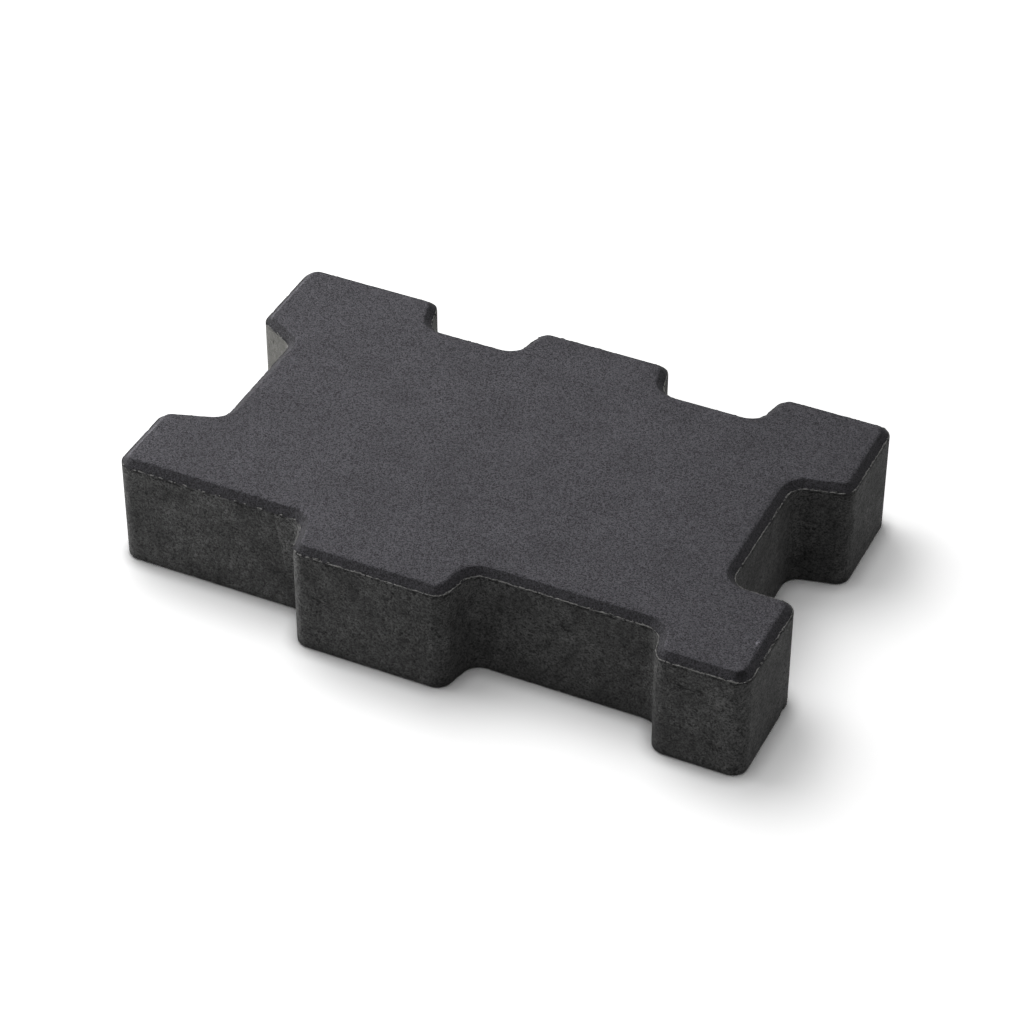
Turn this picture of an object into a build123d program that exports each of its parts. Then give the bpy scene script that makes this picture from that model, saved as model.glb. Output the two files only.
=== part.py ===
"""Concrete paving stone, pressed as one block.

The plan is a straight body with shallow trapezoid lugs on both long sides and a notch in each
end. Its back half is a little shorter than its front half. The face edge is bevelled all round,
and a narrow level land runs between the bevel and the wall, where the press plate stopped short
of the mould.

Millimetres, +Z up. In the plan, x runs along the stone from its left end and y runs from the
front line of the body to the back. The finished stone is moved so that its bounding box is
centred on the origin and its underside lies at z = 0.
"""
import os
from math import atan2, degrees, radians, tan

from build123d import (
    Circle, Kind, Polyline, Pos, export_step, extrude, fillet, make_face, offset,
)

# Body
length = 336.0
body_width = 165.5
thickness = 60.0

# Set-in of the back half at each end
back_left_inset = 7.5
back_right_inset = 6.2

# Lugs along the back: one at each end and one between, widths at half depth
lug_depth = 22.2
back_left_lug_width = 78.2
back_right_lug_width = 60.3
back_lug_width = 76.4
back_lug_centre = 0.5245 * length

# Lugs along the front: one between the ends and one at the right end
front_lug_depth = 22.8
front_lug_width = 84.2
front_lug_centre = 0.4375 * length
end_lug_depth = 19.0
end_lug_width = 48.2

# Lean of a lug's two sides from square, seen from above
left_flank_angle = 16.0
right_flank_angle = 23.0

# Notches in the ends. Each mouth and each inner wall is a pair of places across the body,
# given as shares of its width
left_notch_depth = 29.4
left_notch_mouth = (0.278, 0.815)
left_notch_wall = (0.336, 0.744)
right_notch_depth = 34.0
right_notch_mouth = (0.265, 0.787)
right_notch_wall = (0.265, 0.748)

# Rounding of the upright edges
outer_radius = 8.0
inner_radius = 8.8

# Bevelled face edge, and the level land at the foot of the bevel
bevel_width = 4.2
bevel_height = 3.5
land_width = 0.5


def panel(*corners):
    """Flat face with straight sides between the corners."""
    return make_face(Polyline(*corners, close=True))


def lean(angle, depth):
    """Half of the distance that a lug's side runs along the stone."""
    return depth / 2 * tan(radians(angle))


def lug(left, right, line, reach, left_angle=0.0, right_angle=0.0):
    """Lug on the line of the body, its sides placed at half depth. A front lug has a negative reach."""
    a = lean(left_angle, abs(reach))
    b = lean(right_angle, abs(reach))
    return panel((left - a, line), (right + b, line), (right - b, line + reach), (left + a, line + reach))


def notch(front_end, back_end, inner, mouth, wall):
    """Cut in one end, from its mouth to its wall at x = inner. The two halves may end apart."""
    low, high = (share * body_width for share in mouth)
    wall_low, wall_high = (share * body_width for share in wall)
    return panel((front_end, low), (inner, wall_low), (inner, wall_high), (back_end, high), (front_end, high))


def share_inside(corner, plan):
    """Share of a small disc on the corner that lies in the plan: under a half at an outer corner."""
    disc = Pos(corner.X, corner.Y) * Circle(1.0)
    return (disc & plan).area / disc.area


# Body: the front part at full length, the back part set in at both ends
back_left = back_left_inset
back_right = length - back_right_inset
half = body_width / 2
body = panel((0, 0), (length, 0), (length, half), (0, half))
body += panel((back_left, half), (back_right, half), (back_right, body_width), (back_left, body_width))

# Lugs
half_back = back_lug_width / 2
half_front = front_lug_width / 2
lugs = [
    lug(back_left, back_left + back_left_lug_width, body_width, lug_depth, 0.0, right_flank_angle),
    lug(back_lug_centre - half_back, back_lug_centre + half_back, body_width, lug_depth,
        left_flank_angle, right_flank_angle),
    lug(back_right - back_right_lug_width, back_right, body_width, lug_depth, left_flank_angle, 0.0),
    lug(front_lug_centre - half_front, front_lug_centre + half_front, 0.0, -front_lug_depth,
        left_flank_angle, right_flank_angle),
    lug(length - end_lug_width, length, 0.0, -end_lug_depth, left_flank_angle, 0.0),
]

# Plan with its notches, then the upright edges rounded
plan = body + lugs
plan -= notch(0.0, back_left, left_notch_depth, left_notch_mouth, left_notch_wall)
plan -= notch(length, back_right, length - right_notch_depth, right_notch_mouth, right_notch_wall)
plan = plan.clean()
outer = [corner for corner in plan.vertices() if share_inside(corner, plan) < 0.45]
plan = fillet(outer, outer_radius)
inner = [corner for corner in plan.vertices() if share_inside(corner, plan) > 0.55]
plan = fillet(inner, inner_radius)

# Moulded wall up to the land, then the bevel up to the face
wall_height = thickness - bevel_height
bevel_taper = degrees(atan2(bevel_width - land_width, bevel_height))
bevel_foot = offset(plan, amount=-land_width, kind=Kind.ARC)
stone = extrude(plan, wall_height)
stone += extrude(Pos(0, 0, wall_height) * bevel_foot, bevel_height, taper=bevel_taper)

# Stone centred on the origin, underside on the floor
box = stone.bounding_box()
middle = box.center()
paving_stone = Pos(-middle.X, -middle.Y, -box.min.Z) * stone

os.makedirs("parts", exist_ok=True)
export_step(paving_stone, "parts/paving_stone.step")
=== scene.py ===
"""Concrete paving stone in a plain white studio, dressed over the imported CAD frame."""
import math

import bpy
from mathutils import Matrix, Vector, noise


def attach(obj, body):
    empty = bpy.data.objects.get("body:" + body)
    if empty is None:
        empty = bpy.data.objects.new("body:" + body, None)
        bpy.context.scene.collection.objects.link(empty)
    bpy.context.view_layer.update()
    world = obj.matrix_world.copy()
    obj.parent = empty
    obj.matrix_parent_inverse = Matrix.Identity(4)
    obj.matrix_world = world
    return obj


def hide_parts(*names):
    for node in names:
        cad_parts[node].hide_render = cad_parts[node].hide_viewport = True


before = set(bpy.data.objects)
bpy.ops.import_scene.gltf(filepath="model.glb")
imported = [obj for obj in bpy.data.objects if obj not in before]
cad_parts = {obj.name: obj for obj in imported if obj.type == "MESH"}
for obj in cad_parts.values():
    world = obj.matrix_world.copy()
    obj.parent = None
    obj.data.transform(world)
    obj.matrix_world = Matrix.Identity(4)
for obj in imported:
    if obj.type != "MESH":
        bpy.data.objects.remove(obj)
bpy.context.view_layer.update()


# View. A long lens looks down on the stone from its front right, 1.6 m away, at the
# photograph's viewing angle.
lens_data = bpy.data.cameras.new("view")
lens_data.lens = 117.18
lens_data.sensor_width = 36.0
lens_data.clip_start = 0.05
lens_data.clip_end = 50.0
view = bpy.data.objects.new("view", lens_data)
view.location = (0.54193, -1.15036, 1.04233)
view.rotation_euler = (math.radians(51.359), math.radians(-0.1939), math.radians(25.1899))
bpy.context.scene.collection.objects.link(view)
bpy.context.scene.camera = view
bpy.context.scene.view_settings.view_transform = "Standard"


# The stone. One block of dry-mix concrete, vibrated and pressed in a steel mould. The mould leaves
# plain upright walls, and the press plate leaves the face, the bevel round it and a narrow level
# land at the bevel's foot. Sizes are in millimetres from the left end and the body's front line.
MM = 0.001
length, body_width, thickness = 336.0, 165.5, 60.0
back_left, back_right = 7.5, length - 6.2
front_middle, back_middle = 0.4375 * length, 0.5245 * length
# The two middle lugs at half their depth: how far each reaches to the left and right of its middle
front_lug_sides, back_lug_sides = (42.1, 41.8), (38.2, 37.1)
back_left_lug_width, back_right_lug_width, end_lug_width = 77.2, 60.8, 48.2
lug_reach, front_reach, end_reach = 22.2, 22.8, 19.0
lean = math.tan(math.radians(13.0))
left_notch_wall, right_notch_wall = 29.4, length - 34.0
# Front and back ends of a notch's mouth and of its inner wall, as shares of the body's width
left_notch_mouth, left_notch_inside = (0.278, 0.815), (0.336, 0.744)
right_notch_mouth, right_notch_inside = (0.265, 0.787), (0.265, 0.748)
outer_radius, inner_radius = 8.0, 8.8
bevel_width, bevel_height, land_width = 4.2, 3.5, 0.5
land_level = thickness - bevel_height


def lug_corners(left, right, line, reach, lean_left, lean_right):
    """Foot and tip corners of a lug, left to right, with the rounding of each."""
    depth = abs(reach) / 2
    foot_left, foot_right = left - lean_left * depth, right + lean_right * depth
    tip_left, tip_right = left + lean_left * depth, right - lean_right * depth
    return [(foot_left, line, inner_radius), (tip_left, line + reach, outer_radius),
            (tip_right, line + reach, outer_radius), (foot_right, line, inner_radius)]


def back_lug_corners(left, right, lean_left, lean_right):
    return lug_corners(left, right, body_width, lug_reach, lean_left, lean_right)


def stone_corners():
    """Sharp corners of the plan, anticlockwise from the front left, in metres."""
    tip = body_width + lug_reach
    front_lug = lug_corners(front_middle - front_lug_sides[0], front_middle + front_lug_sides[1],
                            0.0, -front_reach, lean, lean)
    end_lug = lug_corners(length - end_lug_width, length, 0.0, -end_reach, lean, 0.0)
    back_right_lug = back_lug_corners(back_right - back_right_lug_width, back_right, lean, 0.0)
    back_lug = back_lug_corners(back_middle - back_lug_sides[0], back_middle + back_lug_sides[1],
                                lean, lean)
    back_left_lug = back_lug_corners(back_left, back_left + back_left_lug_width, 0.0, lean)
    corners = [(0.0, 0.0, outer_radius)] + front_lug + end_lug[:2] + [
        (length, -end_reach, outer_radius),
        (length, right_notch_mouth[0] * body_width, outer_radius),
        (right_notch_wall, right_notch_inside[0] * body_width, inner_radius),
        (right_notch_wall, right_notch_inside[1] * body_width, inner_radius),
        (back_right, right_notch_mouth[1] * body_width, outer_radius),
        (back_right, tip, outer_radius), back_right_lug[1], back_right_lug[0],
    ]
    corners += back_lug[::-1] + [
        back_left_lug[3], back_left_lug[2], (back_left, tip, outer_radius),
        (back_left, left_notch_mouth[1] * body_width, outer_radius),
        (left_notch_wall, left_notch_inside[1] * body_width, inner_radius),
        (left_notch_wall, left_notch_inside[0] * body_width, inner_radius),
        (0.0, left_notch_mouth[0] * body_width, outer_radius),
    ]
    middle_y = (body_width + lug_reach - front_reach) / 2
    return [((x - length / 2) * MM, (y - middle_y) * MM, r * MM) for x, y, r in corners]


def chain(name, points, closed, radii=None):
    """Mesh of edges through the points, which Geometry Nodes turn into a path."""
    mesh = bpy.data.meshes.new(name)
    edges = [(i, i + 1) for i in range(len(points) - 1)] + ([(len(points) - 1, 0)] if closed else [])
    mesh.from_pydata(points, edges, [])
    if radii:
        rounding = mesh.attributes.new("rounding", "FLOAT", "POINT")
        rounding.data.foreach_set("value", radii)
    piece = bpy.data.objects.new(name, mesh)
    bpy.context.scene.collection.objects.link(piece)
    return piece


def add_node(tree, kind, inputs=None, **settings):
    """Node of one kind. Inputs are values, or sockets to link from."""
    made = tree.nodes.new(kind)
    for name, value in settings.items():
        setattr(made, name, value)
    for key, value in (inputs or {}).items():
        socket = made.inputs[key]
        if isinstance(value, bpy.types.NodeSocket):
            tree.links.new(value, socket)
        else:
            socket.default_value = value
    return made


def made_by(tree, kind, inputs=None, **settings):
    """First output of a new node."""
    return add_node(tree, kind, inputs, **settings).outputs[0]


def geometry_tree(name, sizes):
    """Empty geometry tree with one named input for each size, and its first and last nodes."""
    tree = bpy.data.node_groups.new(name, "GeometryNodeTree")
    tree.interface.new_socket("Geometry", in_out="INPUT", socket_type="NodeSocketGeometry")
    for label, kind, value in sizes:
        socket = tree.interface.new_socket(label, in_out="INPUT", socket_type=kind)
        if value is not None:
            socket.default_value = value
    tree.interface.new_socket("Geometry", in_out="OUTPUT", socket_type="NodeSocketGeometry")
    return tree, tree.nodes.new("NodeGroupInput"), tree.nodes.new("NodeGroupOutput")


def run_tree(piece, tree, values):
    """Puts the tree on the piece with its values, and leaves the result as the piece's plain mesh."""
    modifier = piece.modifiers.new("build", "NODES")
    modifier.node_group = tree
    for item in tree.interface.items_tree:
        if item.in_out == "INPUT" and item.name in values:
            modifier[item.identifier] = values[item.name]
    graph = bpy.context.evaluated_depsgraph_get()
    built = bpy.data.meshes.new_from_object(piece.evaluated_get(graph), depsgraph=graph)
    piece.modifiers.remove(modifier)
    built.name = piece.name
    piece.data = built


def math_node(tree, operation, a, b=0.0, c=0.0):
    return made_by(tree, "ShaderNodeMath", {0: a, 1: b, 2: c}, operation=operation)


def times(tree, a, b):
    return math_node(tree, "MULTIPLY", a, b)


def rounded_outline(tree, sizes):
    """The plan's outline with its corners rounded, in equal steps."""
    rounding = made_by(tree, "GeometryNodeInputNamedAttribute", {"Name": "rounding"}, data_type="FLOAT")
    path = made_by(tree, "GeometryNodeMeshToCurve", {0: sizes["Geometry"]})
    path = made_by(tree, "GeometryNodeFilletCurve", {"Curve": path, "Radius": rounding, "Count": 12},
                   mode="POLY")
    return made_by(tree, "GeometryNodeResampleCurve", {"Curve": path, "Length": sizes["Step"]},
                   mode="LENGTH")


def inward(tree, distance):
    """Step of a point on the outline towards the inside of the stone."""
    up, along = (0.0, 0.0, 1.0), made_by(tree, "GeometryNodeInputTangent")
    across = made_by(tree, "ShaderNodeVectorMath", {0: up, 1: along}, operation="CROSS_PRODUCT")
    return made_by(tree, "ShaderNodeVectorMath", {0: across, "Scale": distance}, operation="SCALE")


corners = stone_corners()
plan_path = [(x, y, 0.0) for x, y, r in corners]
plan_rounding = [r for x, y, r in corners]
block = chain("paving_stone_block", plan_path, True, plan_rounding)
# The section runs from the foot's small rounding up the wall, over the land and the bevel, to the face.
# Each of its points is a distance in from the wall and a height.
foot_rounding, wall_top, wall_rows = 2.2, land_level - 0.8, 26
section_points = [(1.6, 0.0), (0.9, 0.15), (0.35, 0.5), (0.05, 1.2), (0.0, foot_rounding)]
section_points += [(0.0, foot_rounding + (wall_top - foot_rounding) * i / wall_rows)
                   for i in range(1, wall_rows + 1)]
section_points += [(0.0, land_level - 0.3), (0.05, land_level), (land_width, land_level)]
section_points += [(land_width + (bevel_width - land_width) * t, thickness - bevel_height * (1 - t))
                   for t in (0.12, 0.3, 0.5, 0.7, 0.88)]
section_points += [(bevel_width + 0.1, thickness - 0.08), (bevel_width + 0.6, thickness),
                   (bevel_width + 1.6, thickness)]
section_path = [(-inset * MM, -height * MM, 0.0) for inset, height in section_points]
section = chain("stone_section", section_path, False)

tree, start, end = geometry_tree("pressed_stone", [
    ("Section", "NodeSocketObject", None), ("Step", "NodeSocketFloat", 0.001),
    ("Face Inset", "NodeSocketFloat", 0.005), ("Foot Inset", "NodeSocketFloat", 0.001),
    ("Thickness", "NodeSocketFloat", 0.06), ("Bevel Foot", "NodeSocketFloat", 0.056),
    ("Wall", "NodeSocketMaterial", None), ("Bevel", "NodeSocketMaterial", None),
    ("Face", "NodeSocketMaterial", None),
])
sizes = start.outputs
path = made_by(tree, "GeometryNodeSetCurveNormal", {"Curve": rounded_outline(tree, sizes)}, mode="Z_UP")
section_in = add_node(tree, "GeometryNodeObjectInfo", {"Object": sizes["Section"]}).outputs["Geometry"]
section_in = made_by(tree, "GeometryNodeMeshToCurve", {0: section_in})
wall = made_by(tree, "GeometryNodeCurveToMesh", {"Curve": path, "Profile Curve": section_in})
wall = made_by(tree, "GeometryNodeFlipFaces", {"Mesh": wall})
wall = made_by(tree, "GeometryNodeSetShadeSmooth", {"Geometry": wall, "Shade Smooth": True})
caps = []
for inset in (sizes["Face Inset"], sizes["Foot Inset"]):
    rim = made_by(tree, "GeometryNodeSetPosition", {"Geometry": path, "Offset": inward(tree, inset)})
    caps.append(made_by(tree, "GeometryNodeFillCurve", {"Curve": rim}, mode="TRIANGLES"))
level = made_by(tree, "ShaderNodeCombineXYZ", {"Z": sizes["Thickness"]})
face = made_by(tree, "GeometryNodeSetPosition", {"Geometry": caps[0], "Offset": level})
foot = made_by(tree, "GeometryNodeFlipFaces", {"Mesh": caps[1]})
joined = add_node(tree, "GeometryNodeJoinGeometry")
for shell in (foot, face, wall):
    tree.links.new(shell, joined.inputs[0])
solid = made_by(tree, "GeometryNodeMergeByDistance", {"Geometry": joined.outputs[0], "Distance": 0.00002})
solid = made_by(tree, "GeometryNodeSetMaterial", {"Geometry": solid, "Material": sizes["Wall"]})
height = made_by(tree, "GeometryNodeInputPosition")
height = add_node(tree, "ShaderNodeSeparateXYZ", {0: height}).outputs["Z"]
for finish, lowest in (("Bevel", "Bevel Foot"), ("Face", "Thickness")):
    above = math_node(tree, "GREATER_THAN", height, math_node(tree, "SUBTRACT", sizes[lowest], 0.00005))
    solid = made_by(tree, "GeometryNodeSetMaterial",
                    {"Geometry": solid, "Selection": above, "Material": sizes[finish]})
tree.links.new(solid, end.inputs[0])


def shader_group(name, inputs, outputs):
    """Empty shader node group with named inputs and outputs, and its first and last nodes."""
    group = bpy.data.node_groups.new(name, "ShaderNodeTree")
    for label, kind, value in inputs:
        socket = group.interface.new_socket(label, in_out="INPUT", socket_type=kind)
        if value is not None:
            socket.default_value = value
    for label in outputs:
        group.interface.new_socket(label, in_out="OUTPUT", socket_type="NodeSocketFloat")
    return group, group.nodes.new("NodeGroupInput"), group.nodes.new("NodeGroupOutput")


def blend(group, low, high, value, smooth=True, to_low=0.0, to_high=1.0):
    """Value mapped from the low-high range to 0-1, with soft ends."""
    return made_by(group, "ShaderNodeMapRange", {
        "Value": value, "From Min": low, "From Max": high, "To Min": to_low, "To Max": to_high,
    }, interpolation_type="SMOOTHSTEP" if smooth else "LINEAR")


def below(group, full, none, value):
    """1 under the first level and 0 over the second, with soft ends."""
    return blend(group, full, none, value, True, 1.0, 0.0)


def noise_tone(group, vector, scale, detail, roughness):
    return made_by(group, "ShaderNodeTexNoise", {
        "Vector": vector, "Scale": scale, "Detail": detail, "Roughness": roughness,
    })


def cells_of(group, vector, scale):
    """Outputs of a cell pattern, one cell for each grain or pore."""
    return add_node(group, "ShaderNodeTexVoronoi", {"Vector": vector, "Scale": scale}, feature="F1").outputs


def sand_grain_group():
    """Sand and fine grit in the cement: each grain has its own tone and stands up a little."""
    group, first, last = shader_group("sand_grain", [
        ("Vector", "NodeSocketVector", None), ("Grain", "NodeSocketFloat", 0.0009),
        ("Coarse Share", "NodeSocketFloat", 0.35),
    ], ("Tone", "Height"))
    place = first.outputs["Vector"]
    scale = math_node(group, "DIVIDE", 1.0, first.outputs["Grain"])
    fine = cells_of(group, place, scale)
    fine_tone = made_by(group, "ShaderNodeSeparateColor", {0: fine["Color"]})
    coarse = cells_of(group, place, times(group, scale, 0.46))
    coarse_tone = add_node(group, "ShaderNodeSeparateColor", {0: coarse["Color"]}).outputs[1]
    paste = noise_tone(group, place, times(group, scale, 0.8), 1.0, 0.7)
    tone = made_by(group, "ShaderNodeMix", {0: first.outputs["Coarse Share"], 2: fine_tone, 3: coarse_tone})
    tone = made_by(group, "ShaderNodeMix", {0: 0.35, 2: tone, 3: blend(group, 0.25, 0.75, paste, False)})
    tone = blend(group, 0.2, 0.8, tone, False)
    dome = math_node(group, "SUBTRACT", 1.0, fine["Distance"])
    coarse_dome = math_node(group, "SUBTRACT", 1.0, coarse["Distance"])
    height = math_node(group, "ADD", times(group, dome, 0.5), times(group, coarse_dome, 0.5))
    height = math_node(group, "ADD", height, times(group, paste, 0.9))
    group.links.new(tone, last.inputs["Tone"])
    group.links.new(height, last.inputs["Height"])
    return group


def pore_group():
    """Pores where the damp mix did not close. Share is the part of the cells that hold one."""
    group, first, last = shader_group("pores", [
        ("Vector", "NodeSocketVector", None), ("Spacing", "NodeSocketFloat", 0.004),
        ("Share", "NodeSocketFloat", 0.3), ("Width", "NodeSocketFloat", 0.3),
    ], ("Mask",))
    scale = math_node(group, "DIVIDE", 1.0, first.outputs["Spacing"])
    cells = cells_of(group, first.outputs["Vector"], scale)
    pick = add_node(group, "ShaderNodeSeparateColor", {0: cells["Color"]})
    holds = math_node(group, "LESS_THAN", pick.outputs[0], first.outputs["Share"])
    wide = times(group, first.outputs["Width"], blend(group, 0.0, 1.0, pick.outputs[1], False, 0.4, 1.0))
    inside = below(group, times(group, wide, 0.55), wide, cells["Distance"])
    group.links.new(times(group, inside, holds), last.inputs["Mask"])
    return group


def blotch_group():
    """Uneven damp and dye in the mix, as a soft tone about one half."""
    group, first, last = shader_group("blotches", [
        ("Vector", "NodeSocketVector", None), ("Size", "NodeSocketFloat", 0.025),
        ("Detail", "NodeSocketFloat", 3.0),
    ], ("Tone",))
    scale = math_node(group, "DIVIDE", 1.0, first.outputs["Size"])
    cloud = noise_tone(group, first.outputs["Vector"], scale, first.outputs["Detail"], 0.62)
    group.links.new(blend(group, 0.3, 0.7, cloud, False), last.inputs["Tone"])
    return group


sand_grain, pores, blotches = sand_grain_group(), pore_group(), blotch_group()


def place_group(tree, group, inputs):
    """The outputs of the group's node in a material's tree."""
    return add_node(tree, "ShaderNodeGroup", inputs, node_tree=group).outputs


def new_concrete(name, roughness, specular):
    """Material, its tree, its shader and its object coordinates."""
    made = bpy.data.materials.new(name)
    made.use_nodes = True
    tree = made.node_tree
    shader = tree.nodes["Principled BSDF"]
    shader.inputs["Roughness"].default_value = roughness
    shader.inputs["Specular IOR Level"].default_value = specular
    return made, tree, shader, add_node(tree, "ShaderNodeTexCoord").outputs["Object"]


def finish_concrete(tree, shader, color, height, strength, distance):
    """Links the colour and the relief to the shader."""
    tree.links.new(color, shader.inputs["Base Color"])
    bump = made_by(tree, "ShaderNodeBump", {"Height": height, "Strength": strength, "Distance": distance})
    tree.links.new(bump, shader.inputs["Normal"])


def axes(tree, place):
    """X, Y and Z of a place."""
    return add_node(tree, "ShaderNodeSeparateXYZ", {0: place}).outputs


def mix_colors(tree, factor, first, second):
    return add_node(tree, "ShaderNodeMix", {0: factor, 6: first, 7: second}, data_type="RGBA").outputs[2]


def tint(tree, factor, low, high):
    """Colour between two tones by a 0-1 factor."""
    return mix_colors(tree, factor, (*low, 1.0), (*high, 1.0))


def shade(tree, color, factor, depth):
    """Colour made darker by depth where the factor is 1, or lighter where the depth is negative."""
    gain = blend(tree, 0.0, 1.0, factor, False, 1.0, 1.0 - depth)
    return made_by(tree, "ShaderNodeVectorMath", {0: color, "Scale": gain}, operation="SCALE")


def near(tree, place, centre, stretch, inner, outer):
    """1 close to the centre and 0 past the outer radius, with each axis scaled by the stretch."""
    away = made_by(tree, "ShaderNodeVectorMath", {0: place, 1: centre}, operation="SUBTRACT")
    away = made_by(tree, "ShaderNodeVectorMath", {0: away, 1: stretch}, operation="MULTIPLY")
    away = add_node(tree, "ShaderNodeVectorMath", {0: away}, operation="LENGTH").outputs["Value"]
    return below(tree, inner, outer, away)


# Places that the finishes, the wear and the painted light and shade follow, in metres
top, land = thickness * MM, land_level * MM
left_end, right_end = -length / 2 * MM, length / 2 * MM
back_left_end = left_end + back_left * MM
arris_reach = (bevel_width + 0.5) * MM


def face_concrete():
    """Pressed top: a sandy face with a bluish cast, painted a little darker towards the back right as
    shade where the light falls off. The bevel and land are painted darker as shade on bevels turned
    from the light, darker still in the crease at the bevel's foot, and the broken corner's pit is
    painted dark as shade. Along the left end the bevel's upper edge carries a painted highlight where
    the side light strikes it, with the bevel painted darker just below."""
    made, tree, shader, place = new_concrete("concrete_face", roughness=0.9, specular=0.2)
    grain = place_group(tree, sand_grain, {"Vector": place, "Grain": 0.00052, "Coarse Share": 0.12})
    holes = place_group(tree, pores, {"Vector": place, "Spacing": 0.0030, "Share": 0.14, "Width": 0.2})
    holes = holes["Mask"]
    cloud = place_group(tree, blotches, {"Vector": place, "Size": 0.03, "Detail": 2.0})["Tone"]
    x, y, z = axes(tree, place)
    ragged = noise_tone(tree, place, 260.0, 2.0, 0.6)
    edge = math_node(tree, "MULTIPLY_ADD", ragged, 0.0005, math_node(tree, "SUBTRACT", z, 0.00025))
    # Painted shade: the bevel and land are painted darker, standing in for the shade on bevels turned away
    # from the light.
    bevel_painted_shade = below(tree, top - 0.0004, top - 0.00008, edge)
    # Painted shade: the land and the bevel's lowest half millimetre are painted darker still, as shade in
    # the crease beside the burr.
    bevel_foot_painted_shade = below(tree, land + 0.0001, land + 0.0007, edge)
    # Painted shade: the pit of the broken corner is painted dark, as the shade inside it.
    chip_pit_painted_shade = near(tree, place, (0.1632, -0.0972, 0.058), (1.0, 1.0, 1.0), 0.0014, 0.0034)
    nick = near(tree, place, (0.1619, -0.0748, top), (1.0, 0.5, 1.0), 0.0004, 0.0012)
    # Painted shade: the face is painted a little darker towards the back right, where the light falls off.
    back_right_painted_falloff = blend(tree, 0.07, 0.19, math_node(tree, "MULTIPLY_ADD", y, 0.5, x))
    left_of_back = math_node(tree, "LESS_THAN", x, back_left_end + arris_reach)
    left = times(tree, left_of_back, math_node(tree, "GREATER_THAN", y, 0.0))
    left = math_node(tree, "MAXIMUM", left, math_node(tree, "LESS_THAN", x, left_end + arris_reach))
    left = times(tree, left, math_node(tree, "GREATER_THAN", y, -0.0785))
    # Painted highlight: a thin pale line along the bevel's upper edge at the left end, where the side light
    # strikes it, with the bevel painted darker just below it.
    left_edge_highlight = times(tree, left, blend(tree, top - 0.0016, top - 0.0010, z))
    left_edge_highlight = times(tree, left_edge_highlight, below(tree, top - 0.00015, top - 0.00001, z))
    below_left_highlight = times(tree, left, below(tree, top - 0.0022, top - 0.0014, z))
    color = tint(tree, grain["Tone"], (0.0160, 0.0155, 0.0179), (0.099, 0.096, 0.1075))
    for factor, depth in (
        (bevel_painted_shade, 0.5), (bevel_foot_painted_shade, 0.25), (cloud, 0.2), (holes, 0.6), (chip_pit_painted_shade, 0.55), (nick, -1.6),
        (back_right_painted_falloff, 0.12), (left_edge_highlight, -0.9), (below_left_highlight, 0.3),
    ):
        color = shade(tree, color, factor, depth)
    height = math_node(tree, "SUBTRACT", grain["Height"], holes)
    finish_concrete(tree, shader, color, height, strength=0.8, distance=0.0003)
    return made


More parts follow.
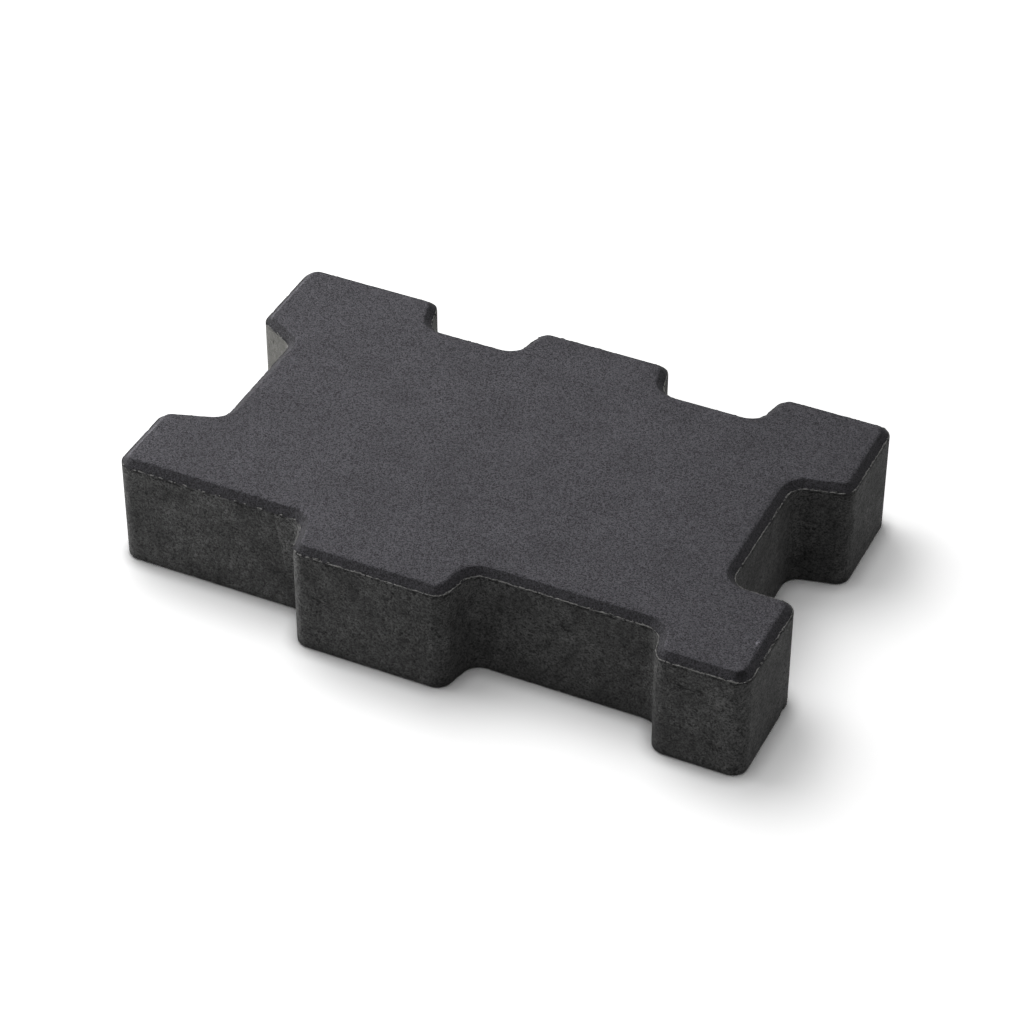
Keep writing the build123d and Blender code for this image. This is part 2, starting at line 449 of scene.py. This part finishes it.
def wall_concrete():
    """Moulded side: neutral grey, mottled, with open pores and the faint upright drag of the mould.
    Short gaps lie open under the burr and in three small scuffs. All walls but the right end are painted
    darker towards the foot as shade, all are darker still in the lowest few millimetres, and the small
    break at the right end's foot is painted dark as shade in its pit. A faint upright line of painted
    highlight runs where the front right corner's rounding meets the right end, two pale patches at the
    back, in the left notch and on the back-left lug's right flank, are painted light, and a patch of
    painted light lies on the inner rounding beside the front lug, where the side light would catch it."""
    made, tree, shader, place = new_concrete("concrete_wall", roughness=0.8, specular=0.15)
    grain = place_group(tree, sand_grain, {"Vector": place, "Grain": 0.00070, "Coarse Share": 0.25})
    holes = place_group(tree, pores, {"Vector": place, "Spacing": 0.0040, "Share": 0.45, "Width": 0.3})
    holes = holes["Mask"]
    mottle = place_group(tree, blotches, {"Vector": place, "Size": 0.005, "Detail": 3.0})["Tone"]
    cloud = place_group(tree, blotches, {"Vector": place, "Size": 0.023, "Detail": 1.0})["Tone"]
    drawn = made_by(tree, "ShaderNodeMapping", {"Vector": place, "Scale": (1.0, 1.0, 0.08)})
    streak = place_group(tree, blotches, {"Vector": drawn, "Size": 0.0022, "Detail": 1.0})["Tone"]
    x, y, z = axes(tree, place)
    flat = made_by(tree, "ShaderNodeMapping", {"Vector": place, "Scale": (1.0, 1.0, 2.6)})
    ticks = blend(tree, 0.51, 0.57, noise_tone(tree, flat, 420.0, 1.0, 0.5))
    gap = times(tree, ticks, blend(tree, land - 0.0017, land - 0.0011, z))
    for centre, reach in (
        ((0.1393, -0.1015, 0.0452), 0.007),
        ((0.0710, -0.0825, 0.0411), 0.004),
        ((-0.0450, -0.1053, 0.0333), 0.004),
    ):
        scuff = near(tree, place, centre, (0.6, 1.0, 1.6), 0.5 * reach, reach)
        gap = math_node(tree, "MAXIMUM", gap, times(tree, ticks, scuff))
    # Painted shade: the walls are painted darker in the lowest few millimetres, and all but the right end
    # darker towards the foot, where less light reaches.
    foot_edge_painted_shade = below(tree, 0.0005, 0.0045, z)
    foot_painted_shade = times(tree, below(tree, 0.0, 0.026, z), math_node(tree, "LESS_THAN", x, right_end - 0.013))
    # Painted shade: a small break at the right end's foot is painted dark, as the shade in its pit.
    foot_chip_painted_shade = near(tree, place, (right_end, -0.051, 0.0025), (1.0, 0.7, 1.0), 0.0012, 0.003)
    # Painted highlight: a faint pale upright line where the front right corner's rounding meets the right
    # end.
    corner_painted_highlight = below(tree, 0.0001, 0.0006, math_node(tree, "ABSOLUTE", math_node(tree, "ADD", y, 0.0936)))
    corner_painted_highlight = times(tree, corner_painted_highlight, math_node(tree, "GREATER_THAN", x, right_end - 0.008))
    # Painted light: a pale patch on the inner rounding beside the front lug's left side, fading downwards,
    # where the side light would catch it.
    painted_light_patch = blend(tree, -0.0728, -0.0722, math_node(tree, "MULTIPLY_ADD", z, 0.16, x))
    painted_light_patch = times(tree, painted_light_patch, blend(tree, 0.010, 0.046, z))
    painted_light_patch = times(tree, painted_light_patch, math_node(tree, "LESS_THAN", x, -0.0655))
    painted_light_patch = times(tree, painted_light_patch, math_node(tree, "LESS_THAN", y, 0.0))
    color = tint(tree, grain["Tone"], (0.025, 0.025, 0.025), (0.157, 0.157, 0.155))
    for factor, depth in (
        (mottle, 0.44), (cloud, 0.46), (streak, 0.14), (holes, 0.65), (gap, 0.75), (foot_edge_painted_shade, 0.3),
        (foot_painted_shade, 0.22), (foot_chip_painted_shade, 0.5), (corner_painted_highlight, -0.35), (painted_light_patch, -0.75),
    ):
        color = shade(tree, color, factor, depth)
    # Painted light: two pale patches at the back, in the left notch and on the back-left lug's right flank,
    # stand in for light falling there.
    back_painted_light = near(tree, place, (-0.150, 0.047, 0.030), (1.0, 1.0, 0.3), 0.012, 0.020)
    lug_painted_light = near(tree, place, (-0.082, 0.090, 0.042), (1.0, 0.8, 0.7), 0.008, 0.014)
    back_painted_light = times(tree, math_node(tree, "MAXIMUM", back_painted_light, lug_painted_light), 0.3)
    color = mix_colors(tree, back_painted_light, color, (0.25, 0.245, 0.225, 1.0))
    height = math_node(tree, "SUBTRACT", grain["Height"], times(tree, holes, 1.6))
    height = math_node(tree, "SUBTRACT", math_node(tree, "ADD", height, mottle), gap)
    finish_concrete(tree, shader, color, height, strength=0.8, distance=0.0003)
    return made


face_finish, wall_finish = face_concrete(), wall_concrete()
run_tree(block, tree, {
    "Section": section, "Step": 1.0 * MM, "Face Inset": section_points[-1][0] * MM,
    "Foot Inset": section_points[0][0] * MM, "Thickness": top, "Bevel Foot": land,
    "Wall": wall_finish, "Bevel": face_finish, "Face": face_finish,
})
bpy.data.objects.remove(section)
block.data.materials.pop(index=0)

# Wear. Walls that are not quite true, flakes off the two edges of the bevel and off the foot, a
# broken corner, a small nick and a chip at the foot, as the photograph shows them.
flaked_edges = (
    # level, reach up and down, depth, seed
    (land, 0.7 * MM, 0.35 * MM, 3.0),
    (top, 1.0 * MM, 0.3 * MM, 7.0),
    (0.0, 1.6 * MM, 0.3 * MM, 11.0),
)
damage = (
    # centre, radius, depth
    (Vector((163.2, -97.2, 58.0)) * MM, 3.2 * MM, 0.9 * MM),
    (Vector((162.1, -75.3, 60.0)) * MM, 1.6 * MM, 0.5 * MM),
    (Vector((168.0, -51.0, 2.0)) * MM, 3.0 * MM, 0.6 * MM),
)
moves = []
for vertex in block.data.vertices:
    here, out = vertex.co, vertex.normal
    flat = Vector((out.x, out.y, 0.0))
    if here.z >= top - 1e-6 or here.z <= 1e-6 or flat.length < 1e-6:
        moves.append(Vector())
        continue
    sink = 0.08 * MM * (0.5 + 0.5 * noise.noise(here * 55.0))
    for edge_level, reach, depth, seed in flaked_edges:
        closeness = max(0.0, 1.0 - abs(here.z - edge_level) / reach)
        flake = noise.noise(Vector((here.x * 260.0, here.y * 260.0, seed))) - 0.18
        sink += closeness * max(0.0, flake) * 2.2 * depth
    for centre, radius, depth in damage:
        away = (here - centre).length / radius
        if away < 1.0:
            sink += depth * (1.0 - away * away) * (0.7 + 0.6 * abs(noise.noise(here * 900.0)))
    moves.append(-out * sink)
for vertex, move in zip(block.data.vertices, moves):
    vertex.co = vertex.co + move
block.data.update()
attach(block, "root")
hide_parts("paving_stone")


# The burr. Where the press plate meets the mould a little cement paste squeezes out and dries as a
# thin, broken, pale ridge on the land, which crumbles as the stones are stacked. Less of it is left
# towards the left end.
tree, start, end = geometry_tree("broken_burr", [
    ("Step", "NodeSocketFloat", 0.0004), ("Inset", "NodeSocketFloat", 0.0002),
    ("Height", "NodeSocketFloat", 0.0565), ("Thick", "NodeSocketFloat", 0.0002),
    ("Cover", "NodeSocketFloat", 0.5), ("Seed", "NodeSocketFloat", 1.0),
    ("Paste", "NodeSocketMaterial", None),
])
sizes = start.outputs
path = rounded_outline(tree, sizes)
place = made_by(tree, "GeometryNodeInputPosition")


def burr_noise(size, detail, shift):
    """Noise along the ridge, told apart by the seed."""
    seed = math_node(tree, "ADD", sizes["Seed"], shift)
    return made_by(tree, "ShaderNodeTexNoise", {
        "Vector": place, "W": seed, "Scale": 1.0 / size, "Detail": detail,
    }, noise_dimensions="4D")


def burr_range(value, low, high, to_low, to_high):
    return made_by(tree, "ShaderNodeMapRange", {
        "Value": value, "From Min": low, "From Max": high, "To Min": to_low, "To Max": to_high,
    })


jitter = times(tree, math_node(tree, "SUBTRACT", burr_noise(0.0019, 2.0, 3.1), 0.5), 0.0014)
shift = inward(tree, math_node(tree, "ADD", sizes["Inset"], math_node(tree, "ABSOLUTE", jitter)))
wobble = math_node(tree, "SUBTRACT", burr_noise(0.0026, 2.0, 7.7), 0.5)
rise = math_node(tree, "MULTIPLY_ADD", wobble, 0.0024, sizes["Height"])
lift = made_by(tree, "ShaderNodeCombineXYZ", {"Z": rise})
shift = made_by(tree, "ShaderNodeVectorMath", {0: shift, 1: lift}, operation="ADD")
path = made_by(tree, "GeometryNodeSetPosition", {"Geometry": path, "Offset": shift})
broad = burr_noise(0.022, 1.0, 11.3)
fine = burr_noise(0.0024, 2.0, 17.9)
cover = math_node(tree, "ADD", times(tree, broad, 0.35), times(tree, fine, 0.65))
more = burr_range(axes(tree, place)["X"], -0.12, 0.045, -0.07, 0.035)
gone = math_node(tree, "GREATER_THAN", cover, math_node(tree, "ADD", sizes["Cover"], more))
line = made_by(tree, "GeometryNodeCurveToMesh", {"Curve": path})
line = made_by(tree, "GeometryNodeDeleteGeometry", {"Geometry": line, "Selection": gone}, domain="POINT")
line = made_by(tree, "GeometryNodeMeshToCurve", {0: line})
swell = burr_range(burr_noise(0.0011, 2.0, 23.5), 0.38, 0.62, 0.3, 1.05)
stout = burr_range(broad, 0.35, 0.65, 1.12, 0.65)
line = made_by(tree, "GeometryNodeSetCurveRadius", {"Curve": line, "Radius": times(tree, swell, stout)})
ring = made_by(tree, "GeometryNodeCurvePrimitiveCircle", {"Resolution": 5, "Radius": sizes["Thick"]})
ridge = made_by(tree, "GeometryNodeCurveToMesh", {"Curve": line, "Profile Curve": ring, "Fill Caps": True})
ridge = made_by(tree, "GeometryNodeSetMaterial", {"Geometry": ridge, "Material": sizes["Paste"]})
tree.links.new(ridge, end.inputs[0])

paste, paste_tree, shader, place = new_concrete("cement_paste", roughness=0.8, specular=0.4)
speck = place_group(paste_tree, sand_grain, {"Vector": place, "Grain": 0.0007, "Coarse Share": 0.5})
paste_color = tint(paste_tree, speck["Tone"], (0.035, 0.035, 0.034), (0.19, 0.188, 0.182))
finish_concrete(paste_tree, shader, paste_color, speck["Height"], strength=0.5, distance=0.0001)
for name, inset, height, thick, cover, seed in (
    ("paste_burr", 0.4, 56.45, 0.34, 0.575, 1.0),
    ("paste_crumbs", 0.7, 56.7, 0.19, 0.42, 40.0),
):
    burr = chain(name, plan_path, True, plan_rounding)
    run_tree(burr, tree, {"Step": 0.4 * MM, "Inset": inset * MM, "Height": height * MM, "Thick": thick * MM,
                          "Cover": cover, "Seed": seed, "Paste": paste})
    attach(burr, "root")


# Floor. A plain white studio floor, which keeps the stone's shadow and turns to the
# even white of the background past the stone.
floor_half = 6.0
floor_corners = [(-floor_half, -floor_half, 0.0), (floor_half, -floor_half, 0.0),
                 (floor_half, floor_half, 0.0), (-floor_half, floor_half, 0.0)]
floor_mesh = bpy.data.meshes.new("floor")
floor_mesh.from_pydata(floor_corners, [], [(0, 1, 2, 3)])
floor = bpy.data.objects.new("floor", floor_mesh)
bpy.context.scene.collection.objects.link(floor)
white = bpy.data.materials.new("floor_white")
white.use_nodes = True
floor_tree = white.node_tree
floor_tree.nodes.clear()


def seen_ray(tree):
    """1 for the rays that show the floor or the background: straight, mirrored or through glass."""
    rays = add_node(tree, "ShaderNodeLightPath").outputs
    bent = math_node(tree, "MAXIMUM", rays["Is Glossy Ray"], rays["Is Transmission Ray"])
    return math_node(tree, "MAXIMUM", rays["Is Camera Ray"], bent)


# A matt floor lights the stone. The floor that shows is brighter, so that it is white outside the
# shadow, and it darkens within a few millimetres of the stone's foot.
matt = made_by(floor_tree, "ShaderNodeBsdfDiffuse", {"Color": (0.85, 0.85, 0.85, 1.0)})
contact = made_by(floor_tree, "ShaderNodeAmbientOcclusion",
                  {"Color": (1.98, 1.98, 1.98, 1.0), "Distance": 0.0085}, samples=1)
shown = made_by(floor_tree, "ShaderNodeBsdfDiffuse", {"Color": contact})
glow = made_by(floor_tree, "ShaderNodeEmission", {"Strength": 0.04})
shown = made_by(floor_tree, "ShaderNodeAddShader", {0: shown, 1: glow})
spot = add_node(floor_tree, "ShaderNodeTexCoord").outputs["Object"]
spot = add_node(floor_tree, "ShaderNodeVectorMath", {0: spot}, operation="LENGTH").outputs["Value"]
far = blend(floor_tree, 0.4, 0.8, spot)
plain = made_by(floor_tree, "ShaderNodeEmission", {"Strength": 1.0})
shown = made_by(floor_tree, "ShaderNodeMixShader", {0: far, 1: shown, 2: plain})
surface = made_by(floor_tree, "ShaderNodeMixShader", {0: seen_ray(floor_tree), 1: matt, 2: shown})
add_node(floor_tree, "ShaderNodeOutputMaterial", {"Surface": surface})
floor_mesh.materials.append(white)


# Light. Softboxes above and to the left, two low ones that light the stone's sides alone, and a
# white surround.
def softbox(name, azimuth, elevation, away, width, height, power):
    """Area light aimed at the stone. Azimuth runs anticlockwise from +X, in degrees."""
    a, e = math.radians(azimuth), math.radians(elevation)
    way = Vector((math.cos(e) * math.cos(a), math.cos(e) * math.sin(a), math.sin(e)))
    lamp = bpy.data.lights.new(name, "AREA")
    lamp.shape = "RECTANGLE"
    lamp.size, lamp.size_y = width, height
    lamp.energy = power
    piece = bpy.data.objects.new(name, lamp)
    piece.location = way * away
    piece.rotation_euler = way.to_track_quat("Z", "Y").to_euler()
    bpy.context.scene.collection.objects.link(piece)
    return piece


softbox("key", azimuth=150.0, elevation=63.0, away=1.5, width=1.1, height=1.1, power=7.9)
softbox("fill_left", azimuth=175.0, elevation=50.0, away=1.8, width=1.3, height=1.3, power=3.0)
side_boxes = (
    softbox("side_left", azimuth=180.0, elevation=11.0, away=1.1, width=0.98, height=0.37, power=15.6),
    softbox("side_front", azimuth=215.0, elevation=20.0, away=1.8, width=1.4, height=0.8, power=6.0),
)
lit_stone = bpy.data.collections.new("side_lit")
for piece in (block, bpy.data.objects["paste_burr"], bpy.data.objects["paste_crumbs"]):
    lit_stone.objects.link(piece)
for box in side_boxes:
    box.light_linking.receiver_collection = lit_stone
world = bpy.data.worlds.new("studio")
world.use_nodes = True
sky = world.node_tree
sky.nodes.clear()
level = made_by(sky, "ShaderNodeMapRange", {"Value": seen_ray(sky), "To Min": 0.28, "To Max": 1.0})
backdrop = made_by(sky, "ShaderNodeBackground", {"Color": (1.0, 1.0, 1.0, 1.0), "Strength": level})
add_node(sky, "ShaderNodeOutputWorld", {"Surface": backdrop})
bpy.context.scene.world = world
